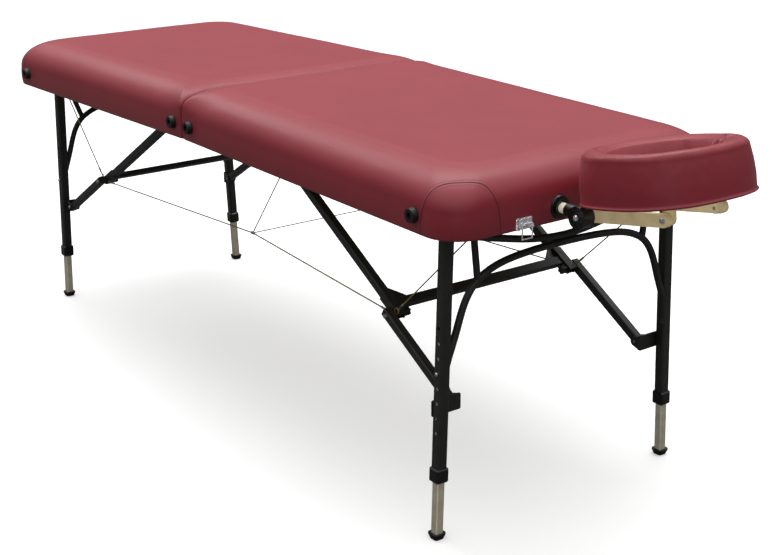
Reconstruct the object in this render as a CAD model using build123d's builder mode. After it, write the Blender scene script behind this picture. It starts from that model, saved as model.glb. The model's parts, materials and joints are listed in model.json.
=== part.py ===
"""Folding massage table, standing open on its legs, with a face cradle at the head end.

X runs along the table with the head half at +X, Y runs across it, and Z is up from the floor.
The model is drawn about the centre fold line and saved about the middle of its footprint.
Each half is drawn in its own frame: out from the fold, y, and up from the frame's bottom edge.
"""
from build123d import *
import math
import os

os.makedirs("parts", exist_ok=True)

# ---------------------------------------------------------------- driving dimensions, mm
HALF_LEN = 927.0      # centre line to the outer end of each half
HALF_WID = 334.0      # centre line to the side of the cover
THICK = 110.0         # bottom edge of the frame to the top of the pad
CAMBER = 13.3         # how much the centre stands above the two ends
Z_CENTRE = 609.9      # frame bottom edge at the centre, above the floor
FOOTPRINT_X, FOOTPRINT_Y = 147.937, 2.850  # middle of the whole footprint

# padded top and frame
SEAM = 1.0            # each cover stops this far from the centre plane
COVER_T = 1.8         # cover thickness over the foam
CORNER_R = 65.0       # plan radius of the outer corners
FRAME_H = 58.0        # depth of the wooden frame
DECK_T = 4.0
RAIL_T = 12.0
RAIL_INSET = 8.0      # rails to the outside of the cover
RAIL_Y = HALF_WID - RAIL_INSET
RAIL_START, RAIL_END = 6.5, HALF_LEN - RAIL_INSET   # outside of the frame, out from the fold
BAY_START, BAY_END = 21, 905                        # inside of the frame
BUMPER_X, BUMPER_H = (36.5, 829.5), 33.0
SCREW_HOLE_R = 2.6

# centre hinges
HINGE_Z = Z_CENTRE - 2.5
HINGE_Y = (-200, 200)
LEAF_T = 1.98

# legs
LEG_X, LEG_H = 846.0, 16.0  # leg pivot in the frame of its half
LEG_Y0 = 282.2        # leg spacing from the centre line at the floor
SPLAY = 0.0356        # legs lean outward, mm per mm
NEST = 14.5           # head legs stand this much wider, foot legs this much narrower
TUBE, TUBE_R = 22.5, 5.0
BORE, BORE_R = 17.9, 3.2
INNER, INNER_R, INNER_WALL = 17.5, 3, 1.6
INNER_Z0, INNER_L = 4, 400
HOLE_Z0, HOLE_PITCH, HOLES = 214.0, 28.9, 8
LOCK_Z = HOLE_Z0 + 4 * HOLE_PITCH  # the leg locks at the fifth hole up
ARCH_R = 7.0
ARCH_OUT = 3.7        # arch and bow rods lie this far outward of the leg axis

# folding braces
BRACE_X, BRACE_H = 163.0, 38.0  # upper brace pivot in the frame of its half
LOW_IN, LOW_DOWN = 27.0, 356.0  # lower brace pivot, from the leg pivot
BAR, BAR_R = 18.0, 3
BAR_BORE, BAR_BORE_R = BAR - 4, 1.5
UP_Y, LOW_Y = 223.0, 245.0

# cradle posts
POST_Y, POST_H, POST_R = 87.0, 27.0, 9.5
POST_SPOTS = ((POST_Y, POST_H), (-POST_Y, POST_H))

TILT = math.atan(CAMBER / HALF_LEN)
COS_TILT, SIN_TILT = math.cos(TILT), math.sin(TILT)
SIDES = (("head", 1), ("foot", -1))
BOTH = (-1, 1)
CUT = Mode.SUBTRACT


# ---------------------------------------------------------------- planes
def half_point(side, out, y, up):
    """World point from the frame of one half."""
    return (
        side * (out * COS_TILT + up * SIN_TILT),
        y,
        Z_CENTRE - out * SIN_TILT + up * COS_TILT,
    )


def flat(side, up):
    """Plane parallel to the deck; its local y is side * y."""
    return Plane(
        origin=half_point(side, 0, 0, up),
        x_dir=(side * COS_TILT, 0, -SIN_TILT),
        z_dir=(side * SIN_TILT, 0, COS_TILT),
    )


def along(side, y):
    """Upright lengthwise plane with local axes out and up."""
    return Plane(
        origin=half_point(side, 0, y, 0),
        x_dir=(side * COS_TILT, 0, -SIN_TILT),
        z_dir=(0, -side, 0),
    )


def across(side, out):
    """Crosswise plane, facing outward, with local axes y and up."""
    return Plane(
        origin=half_point(side, out, 0, 0),
        x_dir=(0, side, 0),
        z_dir=(side * COS_TILT, 0, -SIN_TILT),
    )


def y_plane(x, y, z, facing=1):
    """Plane facing +y or -y."""
    return Plane(origin=(x, y, z), x_dir=(1, 0, 0), z_dir=(0, facing, 0))


def span(start, end, **axes):
    """Plane at start facing end, and the distance between them."""
    start, end = Vector(*start), Vector(*end)
    run = end - start
    return Plane(origin=start, z_dir=run.normalized(), **axes), run.length


# ---------------------------------------------------------------- solids in the open part
# A sketch made in a function does not join the caller's part, so it is handed to extrude.
def cylinder(plane, radius, amount, centres=((0, 0),), **options):
    with BuildSketch(plane) as section:
        with Locations(*centres):
            Circle(radius)
    extrude(section.sketch, amount=amount, **options)


def block(plane, width, height, amount, radius=0, centre=(0, 0), **options):
    with BuildSketch(plane) as section:
        with Locations(centre):
            if radius:
                RectangleRounded(width, height, radius)
            else:
                Rectangle(width, height)
    extrude(section.sketch, amount=amount, **options)


def prism(plane, radius, sides, amount):
    with BuildSketch(plane) as section:
        RegularPolygon(radius, sides)
    extrude(section.sketch, amount=amount)


def headed_pin(plane, radius, length, head_radius, head_height, taper):
    """Shank with a tapered head at its far end."""
    cylinder(plane, radius, length)
    cylinder(plane.offset(length), head_radius, head_height, taper=taper)


def save(builder, name):
    piece = builder.part.moved(Location((-FOOTPRINT_X, -FOOTPRINT_Y, 0)))
    piece.label = name
    export_step(piece, "parts/" + name + ".step")


# ---------------------------------------------------------------- derived pivots
LEG_PIVOT_X, _, LEG_PIVOT_Z = half_point(1, LEG_X, 0, LEG_H)
TOP_X, _, TOP_Z = half_point(1, BRACE_X, 0, BRACE_H)
LOW_X, LOW_Z = LEG_PIVOT_X - LOW_IN, LEG_PIVOT_Z - LOW_DOWN

# the brace is straight when open and doubled back on itself when shut
SPAN_OPEN = math.hypot(LOW_X - TOP_X, TOP_Z - LOW_Z)
SPAN_SHUT = math.hypot(LEG_X - LOW_DOWN - BRACE_X, LEG_H + LOW_IN - BRACE_H)
UPPER_L = (SPAN_OPEN + SPAN_SHUT) / 2
BRACE_ANGLE = math.atan2(TOP_Z - LOW_Z, LOW_X - TOP_X)
KNEE_X = TOP_X + UPPER_L * math.cos(BRACE_ANGLE)
KNEE_Z = TOP_Z - UPPER_L * math.sin(BRACE_ANGLE)
TOP, KNEE, LOW = (TOP_X, TOP_Z), (KNEE_X, KNEE_Z), (LOW_X, LOW_Z)


def leg_y(side, z):
    """Distance of a leg axis from the centre line at height z."""
    return LEG_Y0 - SPLAY * z + NEST * side


def leg_run(side, y_sign, low, high):
    """Plane square to a leg at height low, and the length of leg up to height high."""
    start, end = [(side * LEG_PIVOT_X, y_sign * leg_y(side, z), z) for z in (low, high)]
    return span(start, end, x_dir=(1, 0, 0))


# ---------------------------------------------------------------- padded top
END_TOP_R, SEAM_TOP_R, SIDE_TOP_R = 42, 22, 44  # rounding of the pad's top edges
SEAM_CORNER_R = 12


def pad_block(side, inset, low):
    """The rounded slab of one half, drawn in by inset, from height low to its top."""
    start, end = SEAM + inset, HALF_LEN - inset
    width = 2 * (HALF_WID - inset)
    top = THICK - inset
    with BuildPart() as slab:
        with BuildSketch(flat(side, low)) as plan:
            with Locations(((start + end) / 2, 0)):
                Rectangle(end - start, width)
            fillet(plan.vertices().sort_by(Axis.X)[-2:], CORNER_R - inset)
            fillet(plan.vertices().sort_by(Axis.X)[:2], SEAM_CORNER_R)
        extrude(amount=top - low)
        with BuildSketch(along(side, 0)) as profile:
            with BuildLine():
                Polyline(
                    (start - 5, -20), (end, -20), (end, top), (start, top),
                    (start, 40), (start - 5, 40), (start - 5, -20),
                )
            make_face()
            fillet(profile.vertices().group_by(Axis.Y)[-1].sort_by(Axis.X)[-1], END_TOP_R - inset)
            fillet(profile.vertices().group_by(Axis.Y)[-1].sort_by(Axis.X)[0], SEAM_TOP_R)
        extrude(amount=400, both=True, mode=Mode.INTERSECT)
        with BuildSketch(across(side, 0)) as cross:
            with Locations((0, top / 2 - 10)):
                Rectangle(width, top + 20)
            fillet(cross.vertices().group_by(Axis.Y)[-1], SIDE_TOP_R - inset)
        extrude(amount=1000, both=True, mode=Mode.INTERSECT)
    return slab


def rail_block(side, low, height, margin=0, hollow=False):
    """Block to the frame's outline, grown by margin; hollow leaves only the rails."""
    with BuildPart() as rails:
        with BuildSketch(flat(side, low)) as plan:
            with Locations(((RAIL_START + RAIL_END) / 2, 0)):
                Rectangle(RAIL_END - RAIL_START + 2 * margin, 2 * (RAIL_Y + margin))
            fillet(plan.vertices().sort_by(Axis.X)[-2:], CORNER_R - RAIL_INSET)
            if hollow:
                with BuildSketch(mode=Mode.PRIVATE) as bay:
                    with Locations(((BAY_START + BAY_END) / 2, 0)):
                        Rectangle(BAY_END - BAY_START, 2 * (RAIL_Y - RAIL_T))
                    fillet(bay.vertices().sort_by(Axis.X)[-2:], CORNER_R - RAIL_INSET - RAIL_T)
                add(bay.sketch, mode=CUT)
        extrude(amount=height)
    return rails


def drill_openings(side, post_start):
    """Bumper screw holes at the -y side and, at the head end, the two socket holes."""
    spots = [(out, BUMPER_H) for out in BUMPER_X]
    cylinder(along(side, -300), SCREW_HOLE_R, 60, spots, both=True, mode=CUT)
    if side == 1:
        cylinder(across(side, post_start), 15.2, 30, POST_SPOTS, both=True, mode=CUT)


def vinyl_cover(name, side):
    """Cover with its thin side padding, open underneath."""
    cavity = rail_block(side, -2, FRAME_H + DECK_T + 2.2, 0.3)
    core = pad_block(side, COVER_T, FRAME_H + DECK_T + 0.1)
    with BuildPart() as cover:
        add(pad_block(side, 0, 0).part)
        add(cavity.part, mode=CUT)
        add(core.part, mode=CUT)
        # notch in the bottom edge at the fold
        block(flat(side, -1), 12, 600, 10, centre=(3, 0), mode=CUT)
        drill_openings(side, 915)
    save(cover, name + "_vinyl_cover")


def wood_frame(name, side):
    rails = rail_block(side, 0, FRAME_H, hollow=True)
    with BuildPart() as frame:
        add(rails.part)
        drill_openings(side, 912)
    save(frame, name + "_wood_frame")


def bumpers_and_screws(name, side):
    """Rubber bumpers the shut case stands on, and their screws."""
    with BuildPart() as bumpers:
        for out in BUMPER_X:
            plane = y_plane(*half_point(side, out, -HALF_WID - 0.05, BUMPER_H), -1)
            headed_pin(plane, 14.4, 3, 14.4, 9, taper=12)
            cylinder(plane.offset(4), 6, 12, mode=CUT)
            cylinder(plane.offset(-1), SCREW_HOLE_R, 12, mode=CUT)
    save(bumpers, name + "_bumpers")
    with BuildPart() as screws:
        for out in BUMPER_X:
            plane = y_plane(*half_point(side, out, -HALF_WID, BUMPER_H), -1)
            cylinder(plane.offset(-16), 2.5, 20.1)
            cylinder(plane.offset(4.1), 4.6, 2.6)
    save(screws, name + "_bumper_screws")


# webbing handle: out from the fold, distance off the cover's side
HANDLE_OUTLINE = [
    (372, 0), (400, 0), (420, 7), (452, 14), (490, 14), (522, 7), (542, 0), (570, 0),
]
WEBBING_T, WEBBING_W = 3.6, 32


def carry_handle(name, side):
    """Webbing handle on the +y side, which faces up when the case stands."""
    y_face = HALF_WID + 0.15
    near_edge = [(out, side * (y_face + off)) for out, off in HANDLE_OUTLINE]
    far_edge = [
        (out, side * (y_face + off + WEBBING_T)) for out, off in reversed(HANDLE_OUTLINE)
    ]
    with BuildPart() as handle:
        with BuildSketch(flat(side, 18)):
            with BuildLine():
                Polyline(*near_edge, *far_edge, close=True)
            make_face()
        extrude(amount=WEBBING_W)
    save(handle, name + "_carry_handle")


def pivot_brackets_and_bolts(name, side):
    """Steel brackets under the deck: legs at the outer end, braces near the centre."""
    # out, up, y, half the gap between the lugs, lug radius, bolt radius
    pivots = (
        (LEG_X, LEG_H, leg_y(side, LEG_PIVOT_Z), TUBE / 2 + 1.2, 11.0, 4.0),
        (BRACE_X, BRACE_H, UP_Y, BAR / 2 + 0.8, 9.0, 3.0),
    )
    plate_t = 2.5
    with BuildPart() as brackets:
        for y_sign in BOTH:
            for out, up, y, gap, lug, bolt_r in pivots:
                block(
                    flat(side, FRAME_H - 2.6), 44, 2 * gap + 5, 2.55,
                    radius=3, centre=(out, side * y_sign * y),
                )
                for end in BOTH:
                    with BuildSketch(along(side, y_sign * y + end * (gap + plate_t / 2))):
                        with BuildLine():
                            Polyline(
                                (out - lug, up), (out - lug, FRAME_H - 1),
                                (out + lug, FRAME_H - 1), (out + lug, up),
                            )
                            ThreePointArc((out + lug, up), (out, up - lug), (out - lug, up))
                        make_face()
                        with Locations((out, up)):
                            Circle(bolt_r + 0.02, mode=CUT)
                    extrude(amount=plate_t / 2, both=True)
    save(brackets, name + "_pivot_brackets")

    with BuildPart() as bolts:
        for y_sign in BOTH:
            for out, up, y, gap, _, bolt_r in pivots:
                x, _, z = half_point(side, out, 0, up)
                reach = gap + 2.6
                cylinder(y_plane(x, y_sign * y, z), bolt_r, reach + 0.5, both=True)
                for end in BOTH:
                    head = y_plane(x, y_sign * y + end * (reach + 0.1), z, end)
                    prism(head, bolt_r * 1.7, 6, 2.6)
    save(bolts, name + "_pivot_bolts")


# by side: knuckle places along the pin, knuckle length, relief places,
# relief centre out from the fold, relief width, relief length
KNUCKLES = {
    1: ((-20, 20), 20.0, (0,), 3, 7.5, 20.0),
    -1: ((0,), 19.4, (-20, 20), 1, 10, 20.6),
}


def hinge_leaves(name, side):
    """Centre hinge leaves; the head half also carries the pins."""
    knuckles, length, reliefs, relief_x, relief_w, relief_l = KNUCKLES[side]
    with BuildPart() as leaves:
        for y in HINGE_Y:
            block(flat(side, -2), 30, 60, LEAF_T, radius=3, centre=(20, side * y))
            for shift in knuckles:
                cylinder(y_plane(0, y + shift, HINGE_Z), 4.5, length / 2, both=True)
                block(flat(side, -2), 8, length, LEAF_T, centre=(4, side * (y + shift)))
            for shift in reliefs:
                spot = (relief_x, side * (y + shift))
                block(flat(side, -4), relief_w, relief_l, 6, centre=spot, mode=CUT)
            cylinder(y_plane(0, y, HINGE_Z), 2.06, 40, both=True, mode=CUT)
        if side == 1:
            for y in HINGE_Y:
                cylinder(y_plane(0, y, HINGE_Z), 2.0, 32, both=True)
    save(leaves, name + "_hinge_leaves")


# ---------------------------------------------------------------- leg sets
# half of each rod from the leg towards the middle: y, z
ARCH_SHOULDER = [(256, 366), (243, 402), (228, 446), (206, 482), (170, 505)]
BOW_HALF = [(215, 574), (150, 558), (75, 543)]


def mirrored(half, crown):
    """A full rod from its +y half and the point on the centre line."""
    return [(-y, z) for y, z in half] + [crown] + [(y, z) for y, z in reversed(half)]


def rod_end(side, z):
    """Start of a rod, 3 mm inside the leg tube's inward face."""
    return (leg_y(side, z) - TUBE / 2 + 3, z)


def arch_points(side):
    widen = 1 + NEST * side / 262.0
    half = [rod_end(side, 296), (268 * widen - 2, 332)]
    half += [(y * widen, z) for y, z in ARCH_SHOULDER]
    return mirrored(half + [(110, 519)], (0, 523))


def bow_points(side):
    return mirrored([rod_end(side, 590)] + BOW_HALF, (0, 537))


def leg_frame(name, side):
    """Two leg tubes joined by an arch, a bow above it and two struts between them."""
    x_leg, x_arch = side * LEG_PIVOT_X, side * (LEG_PIVOT_X + ARCH_OUT)
    with BuildPart() as legs:
        for y_sign in BOTH:
            plane, length = leg_run(side, y_sign, 120, LEG_PIVOT_Z + 11)
            block(plane, TUBE, TUBE, length, radius=TUBE_R)
        for points in (arch_points(side), bow_points(side)):
            with BuildLine() as path:
                Spline(*[(x_arch, y, z) for y, z in points])
            with BuildSketch(Plane(origin=path.line @ 0, z_dir=path.line % 0)):
                Circle(ARCH_R)
            sweep(path=path.line)
        for y_sign in BOTH:
            strut_foot = (x_arch, y_sign * (197 + NEST * side * 0.75), 492)
            plane, length = span((x_arch, y_sign * 217, 574), strut_foot)
            cylinder(plane, 6.5, length)
        for y_sign in BOTH:
            plane, length = leg_run(side, y_sign, 110, LEG_PIVOT_Z + 40)
            block(plane, BORE, BORE, length, radius=BORE_R, mode=CUT)
            for i in range(HOLES):
                z = HOLE_Z0 + HOLE_PITCH * i
                hole = y_plane(x_leg, y_sign * leg_y(side, z), z, y_sign)
                cylinder(hole, 4, 16, mode=CUT)
            pivot = y_plane(x_leg, y_sign * leg_y(side, LEG_PIVOT_Z), LEG_PIVOT_Z)
            cylinder(pivot, 4.08, 16, both=True, mode=CUT)
    save(legs, name + "_leg_frame")


def collar(side, y_sign):
    """Chamfered block round the tube's lower end, bored for the inner leg."""
    base, _ = leg_run(side, y_sign, 115.9, LEG_PIVOT_Z)
    with BuildPart() as one:
        block(base, 28.4, 28.4, 28.5, radius=6)
        ends = one.faces().filter_by(lambda face: abs(face.normal_at().dot(base.z_dir)) > 0.99)
        chamfer(ends.edges(), 2.6)
        block(base.offset(-1), BORE + 0.1, BORE + 0.1, 40, radius=BORE_R, mode=CUT)
        block(base.offset(4.0), TUBE + 0.1, TUBE + 0.1, 40, radius=TUBE_R, mode=CUT)
    return one.part


def leg_collars(name, side):
    with BuildPart() as collars:
        for y_sign in BOTH:
            add(collar(side, y_sign))
    save(collars, name + "_leg_collars")


def brace_brackets(name, side):
    """Plates on the legs' inward faces, each with two ears for the lower brace."""
    y_in, y_out = LOW_Y - BAR / 2 - 3.8, leg_y(side, LOW_Z) + TUBE / 2
    x_face = LEG_PIVOT_X - TUBE / 2 - 0.1
    ear_l = x_face - 2 - LOW_X
    half_t = 1.5
    with BuildPart() as brackets:
        for y_sign in BOTH:
            plate = Plane(
                origin=(side * (x_face - half_t), y_sign * (y_in + y_out) / 2, LOW_Z),
                x_dir=(0, 1, 0),
                z_dir=(side, 0, 0),
            )
            block(plate, y_out - y_in, 32, half_t, radius=3, both=True)
            for end in BOTH:
                ear = Plane(
                    origin=(side * LOW_X, y_sign * (LOW_Y + end * (BAR / 2 + 2.3)), LOW_Z),
                    x_dir=(side, 0, 0),
                    z_dir=(0, -side, 0),
                )
                with BuildSketch(ear):
                    with BuildLine():
                        Polyline((0, 10), (ear_l, 15), (ear_l, -15), (0, -10))
                        ThreePointArc((0, -10), (-10, 0), (0, 10))
                    make_face()
                    Circle(3.08, mode=CUT)
                extrude(amount=half_t, both=True)
    save(brackets, name + "_brace_brackets")


def inner_leg(tag, side, y_sign):
    """Telescopic inner leg with its foot cap and snap button."""
    x_leg = side * LEG_PIVOT_X
    base, _ = leg_run(side, y_sign, INNER_Z0, INNER_Z0 + INNER_L)
    hollow = INNER - 2 * INNER_WALL
    with BuildPart() as inner:
        block(base, INNER, INNER, INNER_L, radius=INNER_R)
        block(base.offset(-1), hollow, hollow, INNER_L + 10, radius=1.6, mode=CUT)
        for z in (LOCK_Z, LOCK_Z - 3 * HOLE_PITCH):
            hole = y_plane(x_leg, y_sign * leg_y(side, z), z, y_sign)
            cylinder(hole, 4.2, 16, mode=CUT)
    save(inner, tag + "_inner_leg")

    floor = Plane(origin=(x_leg, base.origin.Y, 0))
    rim = Plane(origin=(x_leg, base.origin.Y, 9))
    with BuildPart() as foot:
        with BuildSketch(floor):
            RectangleRounded(21, 21, 6)
        with BuildSketch(rim):
            RectangleRounded(27.5, 27.5, 7)
        loft()
        block(rim, 27.5, 27.5, 3, radius=7)
        block(base.offset(-0.02), INNER + 0.04, INNER + 0.04, 30, radius=INNER_R, mode=CUT)
    save(foot, tag + "_foot_cap")

    y_button = y_sign * (leg_y(side, LOCK_Z) + BORE / 2 + 0.05)
    with BuildPart() as button:
        headed_pin(y_plane(x_leg, y_button, LOCK_Z, y_sign), 3.9, 4.6, 3.9, 1.6, taper=38)
    save(button, tag + "_snap_button")


# ---------------------------------------------------------------- folding braces
def bar_run(side, y, start, end, before, after):
    """Plane and length for a bar between two (x, z) pivots, run past both of them."""
    direction = Vector(side * (end[0] - start[0]), 0, end[1] - start[1]).normalized()
    origin = Vector(side * start[0], y, start[1]) - direction * before
    length = math.hypot(end[0] - start[0], end[1] - start[1]) + before + after
    return Plane(origin=origin, x_dir=(0, 1, 0), z_dir=direction), length


TOP_PAST, KNEE_PAST = 8.5, 11      # upper bars run past their pivots
LOWER_KNEE_PAST, LOW_PAST = 12, 8  # lower bars run past their pivots


def upper_brace(name, side):
    """Two upper bars joined by a cross bar near their knees, with gussets."""
    down_bar = Vector(side * math.cos(BRACE_ANGLE), 0, -math.sin(BRACE_ANGLE))
    off_bar = Vector(side * math.sin(BRACE_ANGLE), 0, math.cos(BRACE_ANGLE))
    cross = Vector(side * TOP_X, 0, TOP_Z) + down_bar * (UPPER_L - 22)
    cross_w, gusset = 22, 34
    y_in = UP_Y - BAR / 2
    with BuildPart() as upper:
        for y_sign in BOTH:
            plane, length = bar_run(side, y_sign * UP_Y, TOP, KNEE, TOP_PAST, KNEE_PAST)
            block(plane, BAR, BAR, length, radius=BAR_R)
            # thicker knee sleeve
            plane, length = bar_run(
                side, y_sign * UP_Y, TOP, KNEE, TOP_PAST - (UPPER_L - 42), KNEE_PAST
            )
            block(plane, BAR + 1, BAR + 3.2, length)
        # lower corner of each knee end is cut level, to pass under the arch while folding
        with Locations((side * KNEE_X, 0, KNEE_Z - 10.4 - 10)):
            Box(60, 2 * UP_Y + 60, 20, mode=CUT)
        cross_plane = Plane(origin=cross, x_dir=down_bar, z_dir=(0, 1, 0))
        block(cross_plane, cross_w, 13, y_in + 1, radius=3, both=True)
        for y_sign in BOTH:
            corner = Vector(cross.X, y_sign * (y_in + 0.5), cross.Z) - down_bar * (cross_w / 2)
            with BuildSketch(Plane(origin=corner, x_dir=down_bar * -1, z_dir=off_bar)):
                with BuildLine():
                    Polyline((0, 0), (gusset, 0), (0, side * y_sign * gusset), close=True)
                make_face()
            extrude(amount=2.5, both=True)
            for (x, z), radius in ((TOP, 3.08), (KNEE, 4.0)):
                hole = y_plane(side * x, y_sign * UP_Y, z)
                cylinder(hole, radius, 14, both=True, mode=CUT)
            plane, length = bar_run(side, y_sign * UP_Y, TOP, KNEE, TOP_PAST, KNEE_PAST)
            block(
                plane.offset(-1), BAR_BORE, BAR_BORE, length + 2, radius=BAR_BORE_R, mode=CUT
            )
    save(upper, name + "_upper_brace")


def knee_knobs(name, side):
    with BuildPart() as knobs:
        for y_sign in BOTH:
            y = y_sign * (UP_Y + BAR / 2 + 0.4)
            plane = y_plane(side * KNEE_X, y, KNEE_Z, -y_sign)
            cylinder(plane, 3.9, BAR + 14)
            with BuildSketch(plane.offset(BAR + 4)):
                Circle(9.5)
                with PolarLocations(9.5, 6):
                    Circle(2.6, mode=CUT)
            extrude(amount=11)
    save(knobs, name + "_knee_knobs")


def lower_braces(name, side):
    solid_knee, solid_low = LOWER_KNEE_PAST + 9, 20  # unbored lengths at the two ends
    with BuildPart() as lower:
        for y_sign in BOTH:
            plane, length = bar_run(
                side, y_sign * LOW_Y, KNEE, LOW, LOWER_KNEE_PAST, LOW_PAST
            )
            block(plane, BAR, BAR, length, radius=BAR_R)
            block(
                plane.offset(solid_knee), BAR_BORE, BAR_BORE, length - solid_knee - solid_low,
                radius=BAR_BORE_R, mode=CUT,
            )
            for x, z in (KNEE, LOW):
                hole = y_plane(side * x, y_sign * LOW_Y, z)
                cylinder(hole, 3.05, 14, both=True, mode=CUT)
    save(lower, name + "_lower_braces")

    y_in, y_out = LOW_Y - BAR / 2, LOW_Y + BAR / 2
    with BuildPart() as bolts:
        for y_sign in BOTH:
            # pivot, then how far the shank stands clear of the bar on each side
            for (x, z), before, after in ((KNEE, 0.6, 0.1), (LOW, 3.7, 4.0)):
                plane = y_plane(side * x, y_sign * (y_in - before), z, y_sign)
                headed_pin(plane, 3.0, y_out + after - y_in + before, 5.5, 3.0, taper=20)
    save(bolts, name + "_lower_brace_bolts")


# ---------------------------------------------------------------- case latch
# places on the end of the head half: out from the fold, up
LATCH_Y = -170.0
LATCH_H = 12
LATCH_PIN = (933, 6)
LATCH_EYE = (938, 13)
BAIL_R, BAIL_HALF_WID, BAIL_LOW = 1.2, 11.5, -14


def latch_base():
    plate = Plane(
        origin=half_point(1, HALF_LEN + 0.1, LATCH_Y, LATCH_H),
        x_dir=(0, 1, 0),
        z_dir=(COS_TILT, 0, -SIN_TILT),
    )
    with BuildPart() as base:
        block(plate, 36, 22, 2, radius=3)
        for end in BOTH:
            with BuildSketch(along(1, LATCH_Y + end * 15.5)):
                with BuildLine():
                    Polyline((928, 2), (933, 2))
                    ThreePointArc((933, 2), (937, 6), (933, 10))
                    Polyline((933, 10), (928, 10), (928, 2))
                make_face()
                with Locations(LATCH_PIN):
                    Circle(1.6, mode=CUT)
            extrude(amount=1, both=True)
    save(base, "latch_base")


def latch_lever():
    with BuildPart() as lever:
        # middle: barrel, web, bored bail eye and finger roll
        with BuildSketch(along(1, LATCH_Y)):
            with Locations(LATCH_PIN):
                Circle(2.8)
            with Locations((933, 13.5)):
                RectangleRounded(2.4, 17, 1)
            with Locations(LATCH_EYE):
                Circle(2.6)
            with Locations((935.5, 13)):
                Rectangle(5, 3)
            with Locations((934.4, 22)):
                Circle(2.0)
            with Locations(LATCH_EYE):
                Circle(1.35, mode=CUT)
        extrude(amount=10, both=True)
        # full width: barrel and web only
        with BuildSketch(along(1, LATCH_Y)):
            with Locations(LATCH_PIN):
                Circle(2.8)
            with Locations((933, 13.5)):
                RectangleRounded(2.4, 17, 1)
        extrude(amount=13.8, both=True)
        cylinder(along(1, LATCH_Y), 1.5, 16.4, (LATCH_PIN,), both=True)
    save(lever, "latch_lever")


def latch_bail():
    """Closed wire loop through the lever's eye."""
    out, eye_up = LATCH_EYE
    left, right = LATCH_Y - BAIL_HALF_WID, LATCH_Y + BAIL_HALF_WID
    loop = [(left, eye_up), (left, BAIL_LOW), (right, BAIL_LOW), (right, eye_up)]
    corners = [half_point(1, out, y, up) for y, up in loop]
    with BuildPart() as bail:
        for start, end in zip(corners, corners[1:] + corners[:1]):
            plane, length = span(start, end)
            cylinder(plane, BAIL_R, length)
        with Locations(*corners):
            Sphere(BAIL_R)
    save(bail, "latch_bail")


def latch_keeper():
    """Hooked plate on the end of the foot half."""
    plate = Plane(
        origin=half_point(-1, HALF_LEN + 0.1, LATCH_Y, LATCH_H),
        x_dir=(0, 1, 0),
        z_dir=(-COS_TILT, 0, -SIN_TILT),
    )
    with BuildPart() as keeper:
        block(plate, 32, 18, 2, radius=3)
        with BuildSketch(along(-1, LATCH_Y)):
            with BuildLine():
                Polyline(
                    (928, 8), (936, 8), (936, 14), (933.5, 14), (933.5, 11), (928, 11), (928, 8)
                )
            make_face()
        extrude(amount=8, both=True)
    save(keeper, "latch_keeper")


# ---------------------------------------------------------------- face cradle
POST_START, POST_END = 836, 968   # out from the fold
ARM_ANGLE = math.radians(10)
ARM_L, ARM_W = 178.0, 23
ARM_Y0, ARM_Y1 = 62.2, 74.4
ARM_DIR = (math.cos(ARM_ANGLE), 0, math.sin(ARM_ANGLE))
PIVOT_X, _, PIVOT_Z = half_point(1, 985, 0, 22)
TIP_X, TIP_Z = PIVOT_X + ARM_L * ARM_DIR[0], PIVOT_Z + ARM_L * ARM_DIR[2]
CRADLE_BOLT_R, CRADLE_HOLE_R = 3.0, 3.1

# half axes of the cushion and its opening, along the arms and across
CUSHION_A, CUSHION_B, CUSHION_T = 133.0, 143.0, 80.0
OPENING_A, OPENING_B = 79.0, 88.0
CUSHION_BASE = Plane(
    origin=(1101, 0, 676),
    x_dir=ARM_DIR,
    z_dir=(-math.sin(ARM_ANGLE), 0, math.cos(ARM_ANGLE)),
)


def cradle_sockets():
    plane = across(1, HALF_LEN + 0.1)
    with BuildPart() as sockets:
        for y_sign in BOTH:
            spot = ((y_sign * POST_Y, POST_H),)
            cylinder(plane, 22, 4, spot, taper=20)
            cylinder(plane.offset(-34), 15, 42, spot)
            cylinder(plane.offset(-40), POST_R + 0.1, 60, spot, mode=CUT)
    save(sockets, "cradle_sockets")


def cradle_posts():
    with BuildPart() as posts:
        for y_sign in BOTH:
            spot = ((y_sign * POST_Y, POST_H),)
            cylinder(across(1, POST_START), POST_R, POST_END - POST_START, spot)
    save(posts, "cradle_posts")


def cradle_housings():
    """Round pivot housings on the outer ends of the posts."""
    with BuildPart() as housings:
        for y_sign in BOTH:
            spot = ((y_sign * POST_Y, POST_H),)
            drum = y_plane(PIVOT_X, y_sign * (POST_Y + 1), PIVOT_Z)
            cylinder(drum, 20.5, 12.4, both=True)
            cylinder(across(1, 950), 12.2, 30, spot)
            cylinder(across(1, 949), POST_R + 0.03, POST_END + 0.1 - 949, spot, mode=CUT)
            pivot = y_plane(PIVOT_X, y_sign * POST_Y, PIVOT_Z)
            cylinder(pivot, CRADLE_HOLE_R, 20, both=True, mode=CUT)
    save(housings, "cradle_pivot_housings")


def cradle_arms():
    with BuildPart() as arms:
        for y_sign in BOTH:
            middle = (
                (PIVOT_X + TIP_X) / 2, y_sign * (ARM_Y0 + ARM_Y1) / 2, (PIVOT_Z + TIP_Z) / 2
            )
            with BuildSketch(Plane(origin=middle, x_dir=ARM_DIR, z_dir=(0, 1, 0))):
                SlotCenterToCenter(ARM_L, ARM_W)
                with Locations((-ARM_L / 2, 0), (ARM_L / 2, 0)):
                    Circle(CRADLE_HOLE_R, mode=CUT)
            extrude(amount=(ARM_Y1 - ARM_Y0) / 2, both=True)
    save(arms, "cradle_arms")


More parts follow.
